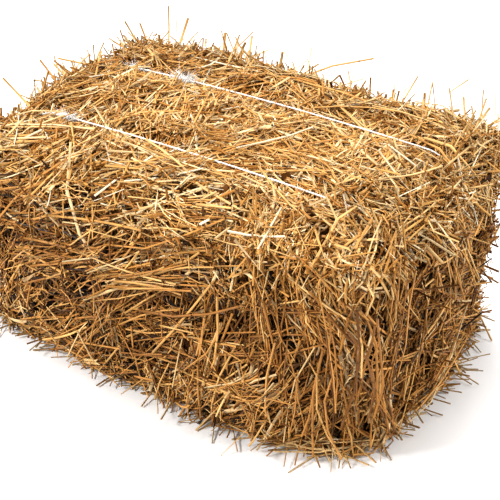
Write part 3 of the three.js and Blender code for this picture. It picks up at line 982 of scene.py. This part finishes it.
def ear():
    """An ear: grains in two rows along a stem, each a small spindle that points up and outwards."""
    way = unit(EAR_WAY)
    aside = unit(np.cross(way, EAR_OUT))
    side = np.where(np.arange(EAR_GRAINS) % 2 == 0, 1.0, -1.0)[:, None]
    up_stem = (EAR_LENGTH * np.arange(EAR_GRAINS) / EAR_GRAINS)[:, None]
    root = EAR_PLACE + way * up_stem + EAR_STEM * side * aside
    grain = unit(way + GRAIN_SPREAD * side * aside + rng.normal(0, GRAIN_SCATTER, (EAR_GRAINS, 3)))
    points = root[:, None] + grain[:, None] * np.linspace(0, GRAIN_LENGTH, 4)[None, :, None]
    return tubes_along(points, EAR_OUT, width=GRAIN_WIDTH, thickness=GRAIN_THICKNESS,
                       row=rows_of(84, 5, EAR_GRAINS), sides=5, taper=0.75)


def add_straw(material):
    """One piece of straw for each flake: all the tubes whose middle lies between its walls."""
    tubes = [part for face in FACES for part in straw_on(face)]
    tubes += [skirt(face) for face in ("front", "near_end", "back", "far_end")]
    tubes += [sheaf(*place) for place in SHEAVES] + [tufts(*row) for row in TUFTS] + [lone_stalks(), ear()]
    tubes += [leaves(*place) for place in LEAVES]
    walls = [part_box(name)[0][0] for name in FLAKES[1:]]
    for number, name in enumerate(FLAKES):
        chosen = []
        for part in tubes:
            between = np.searchsorted(walls, part.points[..., 0].mean(axis=1))
            chosen.append(part.chosen(between == number))
        piece = make_piece(f"straw_of_{name}", chosen, material)
        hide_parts(name)
        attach(piece, "root")


# Twines

CORNER_POINTS = 9
ROUTE_STEP = 0.0035
TOP_BLEND = 0.002  # height below the top over which the rise starts
TOP_MARGIN = 0.001  # height below the top that still counts as on it
STRAND_OFFSET = 0.5 * TWINE_RADIUS
STRAND_RADIUS = 0.56 * TWINE_RADIUS


def run_of(route):
    """How far along the route each of its points is."""
    return np.concatenate([[0], np.cumsum(np.linalg.norm(np.diff(route, axis=0), axis=1))])


def twine_route(y):
    """Points round the bale: over the near end, under it, up the far end and back along the top."""
    bend_x, low, high = TWINE_END - TWINE_CORNER, TWINE_LOW + TWINE_CORNER, TWINE_TOP - TWINE_CORNER
    points = []
    for centre_x, centre_z, start in (
        (bend_x, high, 90), (bend_x, low, 0), (-bend_x, low, -90), (-bend_x, high, -180),
    ):
        for angle in np.radians(np.linspace(start, start - 90, CORNER_POINTS)):
            x = centre_x + TWINE_CORNER * math.cos(angle)
            points.append((x, y, centre_z + TWINE_CORNER * math.sin(angle)))
    corners = np.array(points + points[:1])
    run = run_of(corners)
    even = np.linspace(0, run[-1], int(run[-1] / ROUTE_STEP))
    route = np.stack([np.interp(even, run, corners[:, axis]) for axis in range(3)], axis=-1)
    on_top = smoothstep(TWINE_TOP - TOP_BLEND, TWINE_TOP, route[:, 2])
    route[:, 2] += on_top * TWINE_RISE * (1 - (route[:, 0] / TWINE_END) ** 2)
    return route


def place_on_top(route, x):
    """The point of the route on the top of the bale that is nearest to x."""
    on_top = route[route[:, 2] > TWINE_TOP - TOP_MARGIN]
    return on_top[np.abs(on_top[:, 0] - x).argmin()]


def twisted(route):
    """The strands of a twine, laid round each other."""
    ahead = unit(np.gradient(route, axis=0))
    across = np.array([0.0, 1.0, 0.0])
    up = np.cross(ahead, across)
    run = run_of(route)
    turns = round(run[-1] / LAY_LENGTH)
    strands = []
    for number in range(STRANDS):
        turn = (2 * np.pi * (turns * run / run[-1] + number / STRANDS))[:, None]
        strands.append(route + STRAND_OFFSET * (np.cos(turn) * up + np.sin(turn) * across))
    return tubes_along(np.array(strands), across, width=STRAND_RADIUS, thickness=STRAND_RADIUS,
                       row=np.arange(STRANDS), sides=5)


# Loose fibres
FIBRE_OUT = np.array([0.3, 0.4, 0.86])
FIBRE_CURL = 0.35
FUZZ_COUNT = 900
FUZZ_LIFT = np.array([0, 0, 0.3])
FUZZ_LENGTH = (0.002, 0.006)
FUZZ_SPREAD = 0.2
FUZZ_SIZE = 0.00012
BRUSH_SCATTER = np.array([0.006, 0.0016, 0.0012])
BRUSH_LIFT = np.array([0, 0, 0.08])
BRUSH_SPREAD = 0.30
BRUSH_SIZE = 0.00024


def fibres(roots, ways, length, spread, size):
    """Loose fibres from the roots: each bends off its way a little more towards its tip."""
    count = len(roots)
    reach = rng.uniform(*length, count)[:, None, None]
    ways = unit(ways + rng.normal(0, spread, (count, 3)))
    curl = rng.normal(0, FIBRE_CURL, (count, 3))
    share = np.linspace(0, 1, 4)[None, :, None]
    points = roots[:, None] + reach * (ways[:, None] * share + curl[:, None] * share**2)
    points[..., 2] = np.maximum(points[..., 2], size)
    return tubes_along(points, FIBRE_OUT, width=size, thickness=size, row=rng.integers(0, ROWS, count),
                       sides=3, taper=0.5)


def fuzz_roots(route):
    """Where the short fibres all along a twine start, and which way they go."""
    roots = route[rng.integers(0, len(route), FUZZ_COUNT)]
    ways = rng.normal(0, 1, (FUZZ_COUNT, 3)) + FUZZ_LIFT
    return roots, ways


def brush(route, x, length, count):
    """A frayed place on the top of a twine: fibres that burst out of it both ways along it."""
    roots = place_on_top(route, x) + rng.normal(0, 1, (count, 3)) * BRUSH_SCATTER
    ahead = np.where(rng.random((count, 1)) < 0.5, 1.0, -1.0) * np.array([1.0, 0.0, 0.0])
    return fibres(roots, ahead + BRUSH_LIFT, length, BRUSH_SPREAD, BRUSH_SIZE)


# Knots
KNOT_TURNS = 3
KNOT_POINTS = 40
KNOT_LENGTH = 0.011
KNOT_WIDTH = 0.0026
KNOT_HEIGHT = 0.0024
KNOT_LIFT = 0.0010
KNOT_TWINE = 0.9  # share of its radius that the twine keeps when drawn tight


def knot(route, x):
    """A knot: turns of the twine drawn tight round itself."""
    turn = np.linspace(0, 2 * np.pi * KNOT_TURNS, KNOT_POINTS)
    ahead = (turn / turn[-1] - 0.5) * KNOT_LENGTH
    coil = np.stack([ahead, KNOT_WIDTH * np.sin(turn), KNOT_LIFT + KNOT_HEIGHT * np.cos(turn)], axis=-1)
    size = KNOT_TWINE * TWINE_RADIUS
    return tubes_along((place_on_top(route, x) + coil)[None], np.array([1.0, 0.0, 0.0]), width=size,
                       thickness=size, row=0, sides=6)


# Where each twine is knotted and frayed on top: x, then the length and number of the fibres there
FRONT_KNOT = (-0.244, (0.005, 0.016), 260)
BACK_KNOT = (-0.176, (0.008, 0.024), 420)
BACK_FRAY = (-0.272, (0.006, 0.020), 220)


def add_twine(name, y, frayed, material):
    """One twine, with its knot at the first of its frayed places."""
    route = twine_route(y)
    roots, ways = fuzz_roots(route)
    tubes = [twisted(route), fibres(roots, ways, FUZZ_LENGTH, FUZZ_SPREAD, FUZZ_SIZE)]
    tubes.append(knot(route, frayed[0][0]))
    tubes += [brush(route, *place) for place in frayed]
    piece = make_piece(f"cord_of_{name}", tubes, material)
    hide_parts(name)
    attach(piece, "root")


def add_twines(material):
    add_twine("twine_front", -TWINE_Y, [FRONT_KNOT], material)
    add_twine("twine_back", TWINE_Y, [BACK_KNOT, BACK_FRAY], material)


# Floor, light and camera

FLOOR_REACH = 12.0
FLOOR_COLOUR = (0.80, 0.80, 0.80, 1)
FLOOR_ROUGHNESS = 0.6
WORLD_COLOUR = (1, 1, 1, 1)
WORLD_STRENGTH = 0.72

# Lights: name, place, what each points at, size and power in watts
LIGHTS = [
    ("overhead", (-0.20, 0.20, 2.6), (0, 0, 0.2), 1.2, 62),
    ("back light", (-2.0, 2.2, 1.9), (0, 0, 0.25), 1.5, 25),
    ("left fill", (-1.3, -2.2, 1.8), (0, 0, 0.15), 0.5, 110),
    ("right fill", (2.6, 0.3, 1.6), (0, 0, 0.15), 0.6, 62),
]


def add_floor():
    corners = [(FLOOR_REACH * x, FLOOR_REACH * y, 0) for x, y in ((-1, -1), (1, -1), (1, 1), (-1, 1))]
    mesh = bpy.data.meshes.new("floor")
    mesh.from_pydata(corners, [], [(0, 1, 2, 3)])
    material, _, shader = new_material("pale floor")
    shader.inputs["Base Color"].default_value = FLOOR_COLOUR
    shader.inputs["Roughness"].default_value = FLOOR_ROUGHNESS
    mesh.materials.append(material)
    floor = bpy.data.objects.new("floor", mesh)
    bpy.context.scene.collection.objects.link(floor)


def add_light(name, place, target, size, power):
    data = bpy.data.lights.new(name, "AREA")
    data.size = size
    data.energy = power
    lamp = bpy.data.objects.new(name, data)
    lamp.location = place
    lamp.rotation_euler = (Vector(target) - Vector(place)).to_track_quat("-Z", "Y").to_euler()
    bpy.context.scene.collection.objects.link(lamp)


def add_lights():
    world = bpy.data.worlds.new("studio")
    world.use_nodes = True
    background = world.node_tree.nodes["Background"]
    background.inputs["Color"].default_value = WORLD_COLOUR
    background.inputs["Strength"].default_value = WORLD_STRENGTH
    bpy.context.scene.world = world
    for light in LIGHTS:
        add_light(*light)


def add_camera():
    data = bpy.data.cameras.new("camera")
    data.lens = CAMERA_LENS
    data.sensor_width = CAMERA_SENSOR
    camera = bpy.data.objects.new("camera", data)
    turn = Matrix.Rotation(CAMERA_AZIMUTH, 4, "Z") @ Matrix.Rotation(math.pi / 2 - CAMERA_ELEVATION, 4, "X")
    camera.matrix_world = Matrix.Translation(CAMERA_PLACE) @ turn
    bpy.context.scene.collection.objects.link(camera)
    bpy.context.scene.camera = camera


add_camera()
add_straw(straw_material())
add_twines(twine_material())
add_floor()
add_lights()
bpy.context.scene.view_settings.view_transform = "Standard"
bpy.context.scene.view_settings.gamma = GAMMA
